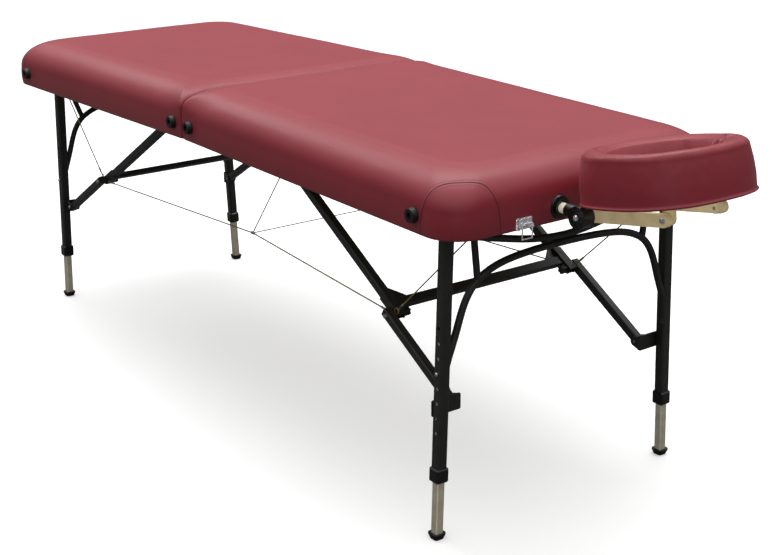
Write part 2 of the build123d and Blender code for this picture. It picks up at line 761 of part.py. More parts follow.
def cradle_bolts():
    # x, z, shank start and end from the centre line
    bolts_at = (
        (PIVOT_X, PIVOT_Z, ARM_Y0 - 1, POST_Y + 14.0),
        (TIP_X, TIP_Z, ARM_Y0 - 12.5, ARM_Y1 + 0.2),
    )
    with BuildPart() as bolts:
        for y_sign in BOTH:
            for x, z, start, end in bolts_at:
                plane = y_plane(x, y_sign * start, z, y_sign)
                headed_pin(plane, CRADLE_BOLT_R, end - start, 5.6, 2.6, taper=25)
    save(bolts, "cradle_pivot_bolts")


def oval(half_a, half_b, power=2.5, steps=32):
    """Points round a superellipse; power 2 is a plain ellipse."""
    points = []
    for i in range(steps):
        angle = 2 * math.pi * i / steps
        cosine, sine = math.cos(angle), math.sin(angle)
        points.append((
            half_a * math.copysign(abs(cosine) ** (2 / power), cosine),
            half_b * math.copysign(abs(sine) ** (2 / power), sine),
        ))
    return points


def cradle_platform():
    """Ring under the cushion, with a lug down to each arm tip."""
    with BuildPart() as platform:
        with BuildSketch(CUSHION_BASE.offset(-12.1)):
            with BuildLine():
                Spline(*oval(CUSHION_A - 9, CUSHION_B - 9), periodic=True)
            make_face()
            with BuildLine():
                Spline(*oval(OPENING_A + 4, OPENING_B + 4, 2.0), periodic=True)
            make_face(mode=CUT)
        extrude(amount=12)
        for y_sign in BOTH:
            lug_at = (TIP_X, y_sign * (ARM_Y0 - 6.2), TIP_Z)
            with BuildSketch(Plane(origin=lug_at, x_dir=ARM_DIR, z_dir=(0, -1, 0))):
                with BuildLine():
                    Polyline((-10, 0), (-12, 30), (12, 30), (10, 0))
                    ThreePointArc((10, 0), (0, -10), (-10, 0))
                make_face()
                Circle(CRADLE_HOLE_R, mode=CUT)
            extrude(amount=5, both=True)
    save(platform, "cradle_platform")


def face_cushion():
    with BuildPart() as cushion:
        with BuildSketch(CUSHION_BASE):
            with BuildLine():
                Spline(*oval(CUSHION_A, CUSHION_B), periodic=True)
            make_face()
        extrude(amount=CUSHION_T)
        top_face = cushion.faces().sort_by(Axis.Z)[-1]
        fillet(top_face.edges(), 14)
        with BuildSketch(CUSHION_BASE.offset(-1)):
            with BuildLine():
                Spline(*oval(OPENING_A, OPENING_B, 2.0), periodic=True)
            make_face()
        extrude(amount=CUSHION_T + 4, mode=CUT)
    save(cushion, "face_cushion")


# ---------------------------------------------------------------- cables
CABLE_KNEE_Y = 234        # cables run to the knees here
JUNCTION_Y, JUNCTION_Z = 168.0, 366.0


def cable(start, end, radius):
    """Straight eight-sided cable."""
    plane, length = span(start, end)
    with BuildPart() as one:
        prism(plane, radius, 8, length)
    return one.part


def cable_from_knee(side, y_sign, end, clearance, radius):
    """Cable to end that starts a little way off the knee."""
    knee = Vector(side * KNEE_X, y_sign * CABLE_KNEE_Y, KNEE_Z)
    end = Vector(*end)
    return cable(knee + (end - knee).normalized() * clearance, end, radius)


def long_support_cables():
    """Knee to knee along each side, up to the fold, and one across between junctions."""
    pieces = []
    for y_sign in BOTH:
        junction = (0, y_sign * JUNCTION_Y, JUNCTION_Z)
        for side in BOTH:
            pieces.append(cable_from_knee(side, y_sign, junction, 30, 1.2))
        pieces.append(cable(junction, (0, y_sign * 12, Z_CENTRE - 8), 1.0))
    pieces.append(cable((0, -JUNCTION_Y, JUNCTION_Z), (0, JUNCTION_Y, JUNCTION_Z), 1.0))
    with BuildPart() as cables:
        for y in (-JUNCTION_Y, JUNCTION_Y):
            prism(Plane(origin=(-6, y, JUNCTION_Z), z_dir=(1, 0, 0)), 3.2, 8, 12)
        add(pieces)
    save(cables, "long_support_cables")


def end_cables(name, side):
    """Knees to ball ends under the outer end of the half."""
    y_end = 236 if side == 1 else 225
    ends = [half_point(side, 893, y_sign * y_end, 10) for y_sign in BOTH]
    pieces = [cable_from_knee(side, y_sign, end, 18, 1.1) for y_sign, end in zip(BOTH, ends)]
    with BuildPart() as cables:
        with Locations(*ends):
            Sphere(3.2)
        add(pieces)
    save(cables, name + "_end_cables")


# ---------------------------------------------------------------- build everything
for name, side in SIDES:
    vinyl_cover(name, side)
    save(pad_block(side, COVER_T + 0.2, FRAME_H + DECK_T + 0.3), name + "_foam_pad")
    save(rail_block(side, FRAME_H + 0.02, DECK_T), name + "_deck_panel")
    wood_frame(name, side)
    bumpers_and_screws(name, side)
    carry_handle(name, side)
    pivot_brackets_and_bolts(name, side)
    hinge_leaves(name, side)
    leg_frame(name, side)
    leg_collars(name, side)
    brace_brackets(name, side)
    for place, y_sign in (("near", -1), ("far", 1)):
        inner_leg(name + "_" + place, side, y_sign)
    upper_brace(name, side)
    knee_knobs(name, side)
    lower_braces(name, side)
    end_cables(name, side)

latch_base()
latch_lever()
latch_bail()
latch_keeper()
cradle_sockets()
cradle_posts()
cradle_housings()
cradle_arms()
cradle_bolts()
cradle_platform()
face_cushion()
long_support_cables()
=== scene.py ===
"""Folding massage table with a face rest: looks, stage, lights and camera.

The table is drawn about its centre fold line. x runs along its length, with the head half
and the face cushion at +x and the foot half at -x. y runs across it, "near" being -y and
"far" +y. z is up from the floor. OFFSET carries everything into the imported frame.
Lengths are metres unless a name or comment says mm.
"""
import bmesh
import bpy
import json
import math
import numpy as np
from mathutils import Matrix, Vector, noise


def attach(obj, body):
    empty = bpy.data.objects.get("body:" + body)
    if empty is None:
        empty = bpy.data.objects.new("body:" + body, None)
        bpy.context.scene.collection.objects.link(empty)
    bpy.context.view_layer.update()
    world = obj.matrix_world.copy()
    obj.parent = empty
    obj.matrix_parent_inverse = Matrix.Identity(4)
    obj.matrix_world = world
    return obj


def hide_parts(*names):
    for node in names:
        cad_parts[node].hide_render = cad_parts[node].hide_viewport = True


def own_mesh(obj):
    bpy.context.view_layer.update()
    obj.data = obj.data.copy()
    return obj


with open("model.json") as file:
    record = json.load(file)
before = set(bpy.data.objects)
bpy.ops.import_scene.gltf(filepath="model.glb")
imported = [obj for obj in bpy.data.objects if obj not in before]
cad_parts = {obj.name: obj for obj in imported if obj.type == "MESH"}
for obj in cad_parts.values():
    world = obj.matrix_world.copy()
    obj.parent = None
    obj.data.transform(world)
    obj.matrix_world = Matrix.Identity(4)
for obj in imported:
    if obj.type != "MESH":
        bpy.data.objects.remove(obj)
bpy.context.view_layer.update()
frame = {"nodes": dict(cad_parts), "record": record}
nodes = frame["nodes"]
scene = bpy.context.scene
slots_of = {s["node"]: s["material_slot"] for s in frame["record"]["subparts"]}

# ------------------------------------------------------------------ table frame
JOINTS = frame["record"]["behaviour"]["joints"]
FOLD_JOINT = next(joint for joint in JOINTS if joint["name"] == "centre_fold")
FOLD_HEIGHT = 0.6074
OFFSET = Vector(FOLD_JOINT["pos_m"]) - Vector((0, 0, FOLD_HEIGHT))

HALF_LENGTH, HALF_WIDTH, THICKNESS = 0.927, 0.334, 0.110
UNDERSIDE_Z = 0.6099  # underside of the top at the fold line
CAMBER = 0.0133  # drop from the fold line to the ends
TILT = math.atan(CAMBER / HALF_LENGTH)
COS_TILT, SIN_TILT = math.cos(TILT), math.sin(TILT)

SIDES = {"head": 1, "foot": -1}  # sign of x
ROWS = {"near": -1, "far": 1}  # sign of y


def on_half(side, along, y, height):
    """Point on one half: along it from the fold line, and height square to its underside."""
    return Vector((
        side * (along * COS_TILT + height * SIN_TILT),
        y,
        UNDERSIDE_Z - along * SIN_TILT + height * COS_TILT,
    ))


# ------------------------------------------------------------------ shader helpers
def linear(colour):
    """Linear RGBA from an 8-bit sRGB colour."""
    parts = [v / 255 for v in colour]
    return tuple(v / 12.92 if v <= 0.04045 else ((v + 0.055) / 1.055) ** 2.4 for v in parts) + (1.0,)


def scaled(colour, gain, lift=0.0):
    """Linear colour made lighter or darker."""
    return tuple(min(1, v * gain + lift) for v in colour[:3]) + (1,)


class Shader:
    """Node tree of a material or world. Values may be numbers or output sockets."""

    def __init__(self, owner):
        owner.use_nodes = True
        self.tree = owner.node_tree

    def find(self, kind):
        return next(n for n in self.tree.nodes if n.type == kind)

    def feed(self, socket, value):
        if hasattr(value, "is_linked"):
            self.tree.links.new(value, socket)
        else:
            socket.default_value = value

    def node(self, kind, inputs=None, **settings):
        made = self.tree.nodes.new("ShaderNode" + kind)
        for key, value in settings.items():
            setattr(made, key, value)
        for key, value in (inputs or {}).items():
            self.feed(made.inputs[key], value)
        return made

    def math(self, operation, a, b=0.0, c=0.0):
        return self.node("Math", {0: a, 1: b, 2: c}, operation=operation).outputs[0]

    def add(self, a, b):
        return self.math("ADD", a, b)

    def subtract(self, a, b):
        return self.math("SUBTRACT", a, b)

    def times(self, a, b):
        return self.math("MULTIPLY", a, b)

    def weighted(self, a, a_weight, b, b_weight):
        return self.add(self.times(a, a_weight), self.times(b, b_weight))

    def remap(self, value, source, target):
        return self.node("MapRange", {
            "Value": value,
            "From Min": source[0], "From Max": source[1],
            "To Min": target[0], "To Max": target[1],
        }).outputs["Result"]


class Surface(Shader):
    """One procedural material, textured in object space."""

    def __init__(self, name):
        self.material = bpy.data.materials.new(name)
        super().__init__(self.material)
        self.coords = self.node("TexCoord").outputs["Object"]

    def stretched(self, scale):
        """Object coordinates scaled per axis."""
        return self.node("Mapping", {"Vector": self.coords, "Scale": scale}).outputs["Vector"]

    def noise(self, scale, detail=3.0, rough=0.5, coords=None, distortion=0.0):
        return self.node("TexNoise", {
            "Vector": coords or self.coords, "Scale": scale, "Detail": detail,
            "Roughness": rough, "Distortion": distortion,
        }).outputs["Fac"]

    def cells(self, scale, feature="SMOOTH_F1"):
        inputs = {"Vector": self.coords, "Scale": scale}
        return self.node("TexVoronoi", inputs, feature=feature).outputs["Distance"]

    def bands(self, direction, coords, **inputs):
        wave = self.node("TexWave", {"Vector": coords, **inputs},
                         wave_type="BANDS", bands_direction=direction)
        return wave.outputs["Fac"]

    def ramp(self, factor, stops):
        """Colour ramp; stops are (position, linear colour)."""
        made = self.node("ValToRGB", {"Fac": factor})
        elements = made.color_ramp.elements
        while len(elements) < len(stops):
            elements.new(0.5)
        for element, (position, colour) in zip(elements, stops):
            element.position = position
            element.color = colour
        return made.outputs["Color"]

    def tones(self, factor, colour, *stops):
        """Ramp through shades of one colour; stops are (position, gain)."""
        return self.ramp(factor, [(position, scaled(colour, gain)) for position, gain in stops])

    def mix(self, factor, a, b):
        return self.node("Mix", {"Factor": factor, 6: a, 7: b}, data_type="RGBA").outputs[2]

    def bump(self, height, distance, strength=1.0, normal=None):
        inputs = {"Distance": distance, "Strength": strength, "Height": height}
        if normal is not None:
            inputs["Normal"] = normal
        return self.node("Bump", inputs).outputs["Normal"]

    def bevel(self, radius):
        return self.node("Bevel", {"Radius": radius}, samples=4).outputs["Normal"]

    def edge(self, radius):
        """1 on sharp edges, 0 on flats."""
        flat = self.node("NewGeometry").outputs["Normal"]
        dot = self.node("VectorMath", {0: self.bevel(radius), 1: flat}, operation="DOT_PRODUCT")
        turn = self.subtract(1.0, dot.outputs["Value"])
        return self.remap(turn, source=(0.02, 0.25), target=(0.0, 1.0))

    def attribute(self, name):
        return self.node("Attribute", attribute_name=name).outputs["Fac"]

    def band_at(self, distance, width):
        """Gaussian band, 1 where the distance is 0; both in mm."""
        ratio = self.math("DIVIDE", distance, width)
        return self.math("EXPONENT", self.times(self.times(ratio, ratio), -1.0))

    def finish(self, **sockets):
        """Fill the principled shader's sockets, and return the material."""
        principled = self.find("BSDF_PRINCIPLED")
        for key, value in sockets.items():
            self.feed(principled.inputs[key.replace("_", " ")], value)
        return self.material


# ------------------------------------------------------------------ materials
def sewn_seam(m, seam, stitch, base, normal):
    """Seam line, the rolls beside it and a row of stitches, from two mesh attributes in mm."""
    across = m.attribute(seam + "_d")
    along = m.attribute(seam + "_t")
    line = m.band_at(across, width=0.75)
    roll = m.band_at(m.subtract(across, 2.6), width=2.0)
    other_roll = m.band_at(m.add(across, 2.4), width=2.2)
    row = m.band_at(m.subtract(across, stitch), width=0.55)
    # stitches repeat every 4.2 mm, with a hole between them
    dash = m.math("GREATER_THAN", m.math("PINGPONG", along, 2.1), 0.42)
    thread = m.times(row, dash)
    hole = m.times(row, m.subtract(1.0, dash))
    height = m.weighted(line, -1.0, roll, 0.55)
    for band, amount in ((other_roll, 0.28), (row, -0.22), (hole, -0.35)):
        height = m.add(height, m.times(band, amount))
    normal = m.bump(height, distance=0.0011, normal=normal)
    for band, strength, colour in (
        (line, 0.86, (30, 6, 8)),
        (thread, 0.45, (150, 48, 56)),
        (hole, 0.6, (50, 12, 14)),
    ):
        base = m.mix(m.times(band, strength), base, linear(colour))
    return base, normal


def make_vinyl(name, seams, colour=(136, 36, 44), stitch=5.5):
    """Grained vinyl; stitch is the distance in mm from a seam to its stitches."""
    m = Surface(name)
    broad = m.noise(scale=5.0, detail=4.0, rough=0.55)
    mid = m.noise(scale=60.0)
    base = m.tones(m.weighted(broad, 0.75, mid, 0.25), linear(colour),
                   (0.30, 0.92), (0.52, 1.0), (0.72, 1.07))
    grain = m.cells(scale=1050.0)
    fine = m.noise(scale=2600.0, detail=2.0, rough=0.6)
    creases = m.noise(scale=170.0, detail=5.0, rough=0.62, distortion=0.7)
    normal = m.bump(m.weighted(grain, 0.8, fine, 0.35), distance=0.00007, strength=0.55)
    normal = m.bump(creases, distance=0.00016, strength=0.30, normal=normal)
    rough = m.remap(m.add(grain, m.times(mid, 0.6)), source=(0.2, 1.2), target=(0.34, 0.47))
    for seam in seams:
        base, normal = sewn_seam(m, seam, stitch, base, normal)
    return m.finish(
        Base_Color=base, Roughness=rough, Normal=normal,
        Specular_IOR_Level=0.36, Coat_Weight=0.10, Coat_Roughness=0.36,
        Sheen_Weight=0.04, Sheen_Roughness=0.45, Sheen_Tint=(1.0, 0.80, 0.84, 1),
    )


def make_coat(name, colour, rough=(0.36, 0.52), peel=420.0, edge_radius=0.0011, wear=0.6):
    """Powder coat, worn brown on its edges; peel is the scale of its orange-peel texture."""
    m = Surface(name)
    base = m.tones(m.noise(scale=38.0, detail=5.0, rough=0.6), linear(colour),
                   (0.3, 0.78), (0.7, 1.3))
    peel_height = m.noise(scale=peel, detail=2.0)
    patches = m.noise(scale=210.0, detail=4.0, rough=0.65)
    worn = m.times(m.edge(edge_radius), m.remap(patches, source=(0.44, 0.66), target=(0.0, wear)))
    base = m.mix(worn, base, linear((86, 66, 48)))
    specks = m.noise(scale=700.0, rough=0.7)
    dust = m.remap(specks, source=(0.62, 0.74), target=(0.0, 0.10))
    base = m.mix(dust, base, linear((120, 116, 106)))
    return m.finish(
        Base_Color=base,
        Roughness=m.remap(m.noise(scale=90.0, rough=0.6), source=(0.3, 0.7), target=rough),
        Normal=m.bump(peel_height, distance=0.00006, strength=0.55,
                      normal=m.bevel(edge_radius * 0.55)),
    )


def make_metal(name, colour, rough, scratch=900.0, stretch=(1, 1, 1), tarnish=None, metallic=1.0):
    """Metal with fine scratches; scratch is their scale and stretch draws them out."""
    m = Surface(name)
    clouds = m.noise(scale=45.0, detail=4.0, rough=0.6)
    scratches = m.noise(scale=scratch, rough=0.6, coords=m.stretched(stretch))
    bright = linear(colour)
    dark = linear(tarnish) if tarnish else scaled(bright, 0.7)
    base = m.ramp(clouds, [(0.30, dark), (0.55, bright), (0.8, scaled(bright, 1.08))])
    return m.finish(
        Base_Color=base,
        Roughness=m.remap(m.weighted(clouds, 0.5, scratches, 0.5),
                          source=(0.3, 0.7), target=rough),
        Normal=m.bump(scratches, distance=0.00002, strength=0.5, normal=m.bevel(0.0005)),
        Metallic=metallic,
    )


def make_plastic(name, colour, rough, grain, depth=0.00004, specular=0.5, dirt=0.0):
    """Moulded plastic or rubber, a little paler on its edges."""
    m = Surface(name)
    edge_radius = 0.0009
    tone = linear(colour)
    base = m.tones(m.noise(scale=30.0, detail=4.0, rough=0.55), tone, (0.3, 0.86), (0.7, 1.12))
    grain_height = m.cells(scale=grain)
    base = m.mix(m.times(m.edge(edge_radius), 0.22), base, scaled(tone, 1.6, lift=0.01))
    if dirt:
        smears = m.noise(scale=16.0, detail=6.0, rough=0.7)
        smears = m.remap(smears, source=(0.5, 0.72), target=(0.0, dirt))
        base = m.mix(smears, base, scaled(tone, 0.55))
    return m.finish(
        Base_Color=base,
        Roughness=m.remap(m.noise(scale=120.0, rough=0.6), source=(0.3, 0.7), target=rough),
        Normal=m.bump(grain_height, distance=depth, strength=0.6,
                      normal=m.bevel(edge_radius * 0.6)),
        Specular_IOR_Level=specular,
    )


def make_wood(name, light, dark, fibre_scale=34.0):
    """Wood with its grain along x."""
    m = Surface(name)
    coords = m.stretched((0.9, 9.0, 9.0))
    warp = m.noise(scale=3.0, coords=coords)
    rings = m.bands("Y", coords, Scale=1.3, Distortion=5.5, Detail=4.0)
    fibre = m.noise(scale=fibre_scale, detail=5.0, rough=0.7, coords=coords)
    base = m.ramp(m.weighted(rings, 0.5, fibre, 0.5), [(0.2, linear(dark)), (0.75, linear(light))])
    base = m.mix(m.remap(warp, source=(0.35, 0.7), target=(0.0, 0.35)), base, linear(dark))
    return m.finish(
        Base_Color=base,
        Roughness=m.remap(fibre, source=(0.3, 0.7), target=(0.45, 0.68)),
        Normal=m.bump(fibre, distance=0.0003, strength=0.6, normal=m.bevel(0.001)),
    )


def make_webbing(name, colour):
    """Woven strap: bands along x and z crossed."""
    m = Surface(name)
    weave = m.times(*(m.bands(d, m.coords, Scale=130.0, Distortion=0.4) for d in "XZ"))
    fuzz = m.noise(scale=3000.0, rough=0.7)
    return m.finish(
        Base_Color=m.tones(weave, linear(colour), (0.1, 0.5), (0.8, 1.9)),
        Roughness=m.remap(fuzz, source=(0.3, 0.7), target=(0.7, 0.95)),
        Normal=m.bump(m.add(weave, m.times(fuzz, 0.3)), distance=0.0005, strength=0.9),
    )


def make_cable(name, colour, metallic):
    """Wire rope: the mesh gives the lay; this paints shade into its grooves and adds a fine strand.
    """
    m = Surface(name)
    clouds = m.noise(scale=140.0, detail=4.0, rough=0.6)
    tone = linear(colour)
    base = m.tones(clouds, tone, (0.3, 0.6), (0.7, 1.15))
    # painted shade: darker down the grooves between the strands
    base = m.mix(m.times(m.attribute("lay"), 0.5), base, scaled(tone, 0.25))
    return m.finish(
        Base_Color=base,
        Roughness=m.remap(clouds, source=(0.3, 0.7), target=(0.3, 0.5)),
        Normal=m.bump(m.noise(scale=3500.0, detail=2.0), distance=0.00003, strength=0.5),
        Metallic=metallic,
    )


def make_foam(name, colour):
    """Open-cell foam."""
    m = Surface(name)
    cells = m.cells(scale=520.0, feature="F1")
    return m.finish(
        Base_Color=m.tones(cells, linear(colour), (0.0, 0.55), (0.5, 1.0)),
        Roughness=m.remap(cells, source=(0.0, 0.6), target=(0.85, 0.98)),
        Normal=m.bump(cells, distance=0.0008, strength=0.9),
    )


MATERIALS = {
    "pad": make_vinyl("pad_vinyl", ("arch", "edge"), colour=(146, 46, 57)),
    "ring": make_vinyl("ring_vinyl", ("rim", "cut"), colour=(146, 45, 56), stitch=4.2),
    "under": make_plastic(
        "under_lining", (26, 24, 24), rough=(0.7, 0.9), grain=900.0, depth=0.0003),
    "vinyl": make_vinyl("cover_vinyl", ()),
    "foam": make_foam("open_foam", (222, 214, 190)),
    "plywood": make_wood(
        "birch_ply", light=(206, 172, 128), dark=(168, 126, 82), fibre_scale=46.0),
    "hardwood": make_wood("rail_wood", light=(190, 150, 104), dark=(142, 100, 62)),
    "black_rubber": make_plastic(
        "bumper_rubber", (15, 16, 17), rough=(0.38, 0.56), grain=700.0, depth=0.00008,
        specular=0.45, dirt=0.3),
    "zinc": make_metal("zinc_plate", (176, 176, 178), rough=(0.24, 0.4)),
    "webbing": make_webbing("handle_webbing", (26, 26, 28)),
    "black_coat": make_coat("black_powder_coat", (36, 36, 34)),
    "black_plastic": make_plastic(
        "moulded_black", (17, 17, 17), rough=(0.22, 0.36), grain=1100.0, depth=0.00003),
    "champagne": make_metal(
        "champagne_tube", (228, 219, 196), rough=(0.34, 0.44), scratch=420.0,
        stretch=(1, 1, 0.06), tarnish=(212, 202, 176), metallic=0.7),
    "chrome": make_metal("bright_chrome", (236, 236, 240), rough=(0.14, 0.26), metallic=0.75),
    "button_steel": make_metal("button_steel", (206, 206, 204), rough=(0.14, 0.26)),
    "tan_plastic": make_plastic(
        "tan_arm", (222, 203, 158), rough=(0.36, 0.5), grain=900.0, dirt=0.25),
    "ivory_rod": make_plastic(
        "ivory_rod", (240, 232, 212), rough=(0.30, 0.42), grain=800.0, depth=0.00002, dirt=0.2),
    "brass_cable": make_cable("gold_cable", (186, 164, 112), metallic=0.3),
    "grey_cable": make_cable("grey_cable", (140, 138, 132), metallic=0.4),
    "black_cord": make_cable("black_cord", (26, 25, 24), metallic=0.0),
    "weld": make_coat(
        "weld_black", (20, 20, 19), rough=(0.4, 0.6), peel=900.0, edge_radius=0.0004, wear=0.3),
    "thread": make_webbing("bar_tack_thread", (120, 30, 38)),
}
MATERIALS["cushion"] = MATERIALS["ring"]

for name, piece in nodes.items():
    piece.data.materials.clear()
    piece.data.materials.append(MATERIALS[slots_of[name]])


# ------------------------------------------------------------------ mesh helpers
def mesh_object(name, verts, faces, material, smooth=True):
    mesh = bpy.data.meshes.new(name)
    mesh.from_pydata([tuple(Vector(v) + OFFSET) for v in verts], [], faces)
    mesh.validate()
    mesh.update()
    if smooth:
        mesh.polygons.foreach_set("use_smooth", [True] * len(mesh.polygons))
    mesh.materials.append(material)
    made = bpy.data.objects.new(name, mesh)
    scene.collection.objects.link(made)
    return made


def add_attribute(piece, name, values):
    made = piece.data.attributes.new(name, "FLOAT", "POINT")
    made.data.foreach_set("value", np.asarray(values, np.float32))


def band_faces(rows, columns):
    """Quads between successive closed rows of points."""
    faces = []
    for row in range(rows - 1):
        for column in range(columns):
            a = row * columns + column
            b = row * columns + (column + 1) % columns
            faces.append((a, b, b + columns, a + columns))
    return faces


def capped_faces(rows, columns):
    last = (rows - 1) * columns
    caps = [tuple(range(columns))[::-1], tuple(range(last, last + columns))]
    return band_faces(rows, columns) + caps


def clean_mesh(piece, merge_distance):
    work = bmesh.new()
    work.from_mesh(piece.data)
    bmesh.ops.remove_doubles(work, verts=work.verts, dist=merge_distance)
    bmesh.ops.dissolve_degenerate(work, edges=work.edges, dist=1e-6)
    bmesh.ops.recalc_face_normals(work, faces=work.faces)
    work.to_mesh(piece.data)
    work.free()
    piece.data.update()


# ------------------------------------------------------------------ padded top
FOLD_GAP = 0.0008  # from the fold line to the pad
CORNER_RADIUS = 0.065  # in plan
SIDE_ROLL_IN, SIDE_ROLL_DOWN = 0.082, 0.064  # rounding of the top edge, sides and end
FOLD_ROLL_IN, FOLD_ROLL_DOWN = 0.036, 0.028  # rounding beside the fold
SIDE_WALL = THICKNESS - SIDE_ROLL_DOWN
FOLD_WALL = THICKNESS - FOLD_ROLL_DOWN
DECK_TOP = 0.0624  # underside of the foam
FOAM_INSET = 0.0024
SMALLEST_RADIUS = 0.0002
TOP_RINGS = 58
LONG_STEPS, END_STEPS, FOLD_STEPS = 200, 120, 120  # along the straights
CORNER_STEPS, FOLD_CORNER_STEPS = 34, 10
AWAY_FROM_SEAM = 40.0  # mm, beyond the reach of any stitching

# arch-shaped corner seam, a superellipse in mm: along the edge, and up the girth
ARCH_HALF_WIDTH, ARCH_RISE, ARCH_POWER, ARCH_SHIFT = 82.0, 103.6, 2.35, 16.0


def arch_lengths():
    """Angle round the arch, and the length along it at each angle."""
    angle = np.linspace(0, math.pi, 400)
    cos, sin = np.cos(angle), np.sin(angle)
    x = ARCH_HALF_WIDTH * np.sign(cos) * np.abs(cos) ** (2 / ARCH_POWER)
    y = ARCH_RISE * np.abs(sin) ** (2 / ARCH_POWER)
    return angle, np.concatenate([[0], np.cumsum(np.hypot(np.diff(x), np.diff(y)))])


ARCH_LENGTHS = arch_lengths()


def arch_seam(around, girth):
    """Signed distance in mm to the arch (positive outside it), and the length along it."""
    n = ARCH_POWER
    x, y = around - ARCH_SHIFT, np.maximum(girth, 0.01)
    a, b = np.abs(x) / ARCH_HALF_WIDTH + 1e-6, y / ARCH_RISE
    level = (a**n + b**n) ** (1 / n)
    slope_x = level ** (1 - n) * a ** (n - 1) / ARCH_HALF_WIDTH
    slope_y = level ** (1 - n) * b ** (n - 1) / ARCH_RISE
    distance = (level - 1) / np.hypot(slope_x, slope_y)
    angle = np.arctan2(b ** (n / 2), np.sign(x) * a ** (n / 2))
    return np.clip(distance, -AWAY_FROM_SEAM, AWAY_FROM_SEAM), np.interp(angle, *ARCH_LENGTHS)


def pad_rings():
    """Rings from the tucked lower edge up to the middle of the top.

    Columns: inset and height at the sides, inset and height at the fold, girth in mm.
    """
    rings = [
        (0.016, -0.0006, 0.012, -0.0006, -16.0),
        (0.006, -0.0008, 0.005, -0.0008, -6.0),
        (0.0018, -0.0004, 0.0018, -0.0004, -2.0),
        (0.0004, 0.0010, 0.0004, 0.0010, 0.5),
    ]
    for i in range(1, 23):  # slightly bulging walls
        t = i / 22
        rings.append((
            -0.0016 * math.sin(math.pi * t), 0.001 + (SIDE_WALL - 0.001) * t,
            -0.0002 * math.sin(math.pi * t), 0.001 + (FOLD_WALL - 0.001) * t,
            SIDE_WALL * 1000 * t,
        ))
    girth = SIDE_WALL
    for i in range(1, 25):  # rolled edge
        angle = math.pi / 2 * i / 24
        middle = angle - math.pi / 96
        cos, sin = math.cos(angle), math.sin(angle)
        chord = math.hypot(SIDE_ROLL_IN * math.sin(middle), SIDE_ROLL_DOWN * math.cos(middle))
        girth += chord * math.pi / 48
        rings.append((
            SIDE_ROLL_IN * (1 - cos), SIDE_WALL + SIDE_ROLL_DOWN * sin,
            FOLD_ROLL_IN * (1 - cos), FOLD_WALL + FOLD_ROLL_DOWN * sin,
            girth * 1000,
        ))
    roll_girth = rings[-1][4]
    for i in range(1, TOP_RINGS + 1):  # flat top
        t = (i / TOP_RINGS) ** 1.12
        side_in = SIDE_ROLL_IN + (HALF_WIDTH - SIDE_ROLL_IN) * t
        fold_in = FOLD_ROLL_IN + (0.30 - FOLD_ROLL_IN) * t
        top_girth = roll_girth + (side_in - SIDE_ROLL_IN) * 1000
        rings.append((side_in, THICKNESS, fold_in, THICKNESS, top_girth))
    return rings


def core_rings(inset):
    """The same rings drawn in by inset and closed underneath at the deck."""
    rings = [
        (side_in + inset, side_h - inset, fold_in + inset, max(fold_h - inset, DECK_TOP), girth)
        for side_in, side_h, fold_in, fold_h, girth in pad_rings()
        if side_h - inset > DECK_TOP + 0.001
    ]
    lower_edge = (rings[0][0], DECK_TOP, inset, DECK_TOP, 0.0)
    return [(0.30, DECK_TOP, 0.28, DECK_TOP, 0.0), lower_edge] + rings


def pad_outline(side_in, end_in, fold_in, inset):
    """Plan of one ring as (along, y), starting at the fold on the near side."""
    inward = max(side_in - SIDE_ROLL_IN, 0.0) / (HALF_WIDTH - SIDE_ROLL_IN)
    corner = (CORNER_RADIUS - 0.12 * side_in - inset) * (1 - inward) + SMALLEST_RADIUS
    corner = max(corner, SMALLEST_RADIUS)
    rolled = min(max(fold_in, 0.0) / FOLD_ROLL_IN, 1.0)
    fold_corner = (0.005 + 0.048 * rolled**1.1) * (1 - inward) + SMALLEST_RADIUS
    low, high = FOLD_GAP + fold_in, HALF_LENGTH - end_in
    half = max(HALF_WIDTH - side_in, 0.0)
    corner, fold_corner = min(corner, half), min(fold_corner, half)
    run = high - corner - low - fold_corner
    points = []

    def straight(x, y, run_x, run_y, steps):
        for t in np.linspace(0, 1, steps, endpoint=False):
            points.append((x + run_x * t, y + run_y * t))

    def quarter(x, y, radius, start, steps):
        for t in np.linspace(0, 1, steps, endpoint=False):
            angle = start + t * math.pi / 2
            points.append((x + radius * math.cos(angle), y + radius * math.sin(angle)))

    straight(low + fold_corner, -half, run, 0, LONG_STEPS)
    quarter(high - corner, -half + corner, corner, -math.pi / 2, CORNER_STEPS)
    straight(high, -half + corner, 0, 2 * (half - corner), END_STEPS)
    quarter(high - corner, half - corner, corner, 0, CORNER_STEPS)
    straight(high - corner, half, -run, 0, LONG_STEPS)
    quarter(low + fold_corner, half - fold_corner, fold_corner, math.pi / 2, FOLD_CORNER_STEPS)
    straight(low, half - fold_corner, 0, -2 * (half - fold_corner), FOLD_STEPS)
    quarter(low + fold_corner, -half + fold_corner, fold_corner, math.pi, FOLD_CORNER_STEPS)
    return np.array(points)


def pad_point(side, along, y, height):
    """Point of the pad, with slight unevenness in its top and walls."""
    broad = noise.noise(Vector((along * 5.5 + side * 7, y * 5.5, height * 4)))
    fine = noise.noise(Vector((along * 19 + side * 3, y * 19, height * 14 + 5)))
    lift = 0.0007 * broad + 0.0002 * fine if height > 0.05 else 0.0
    if 0.004 < height < 0.09:
        y = y + (0.0006 * broad + 0.00022 * fine) * (1 if y > 0 else -1)
    return on_half(side, along, y, height + lift)


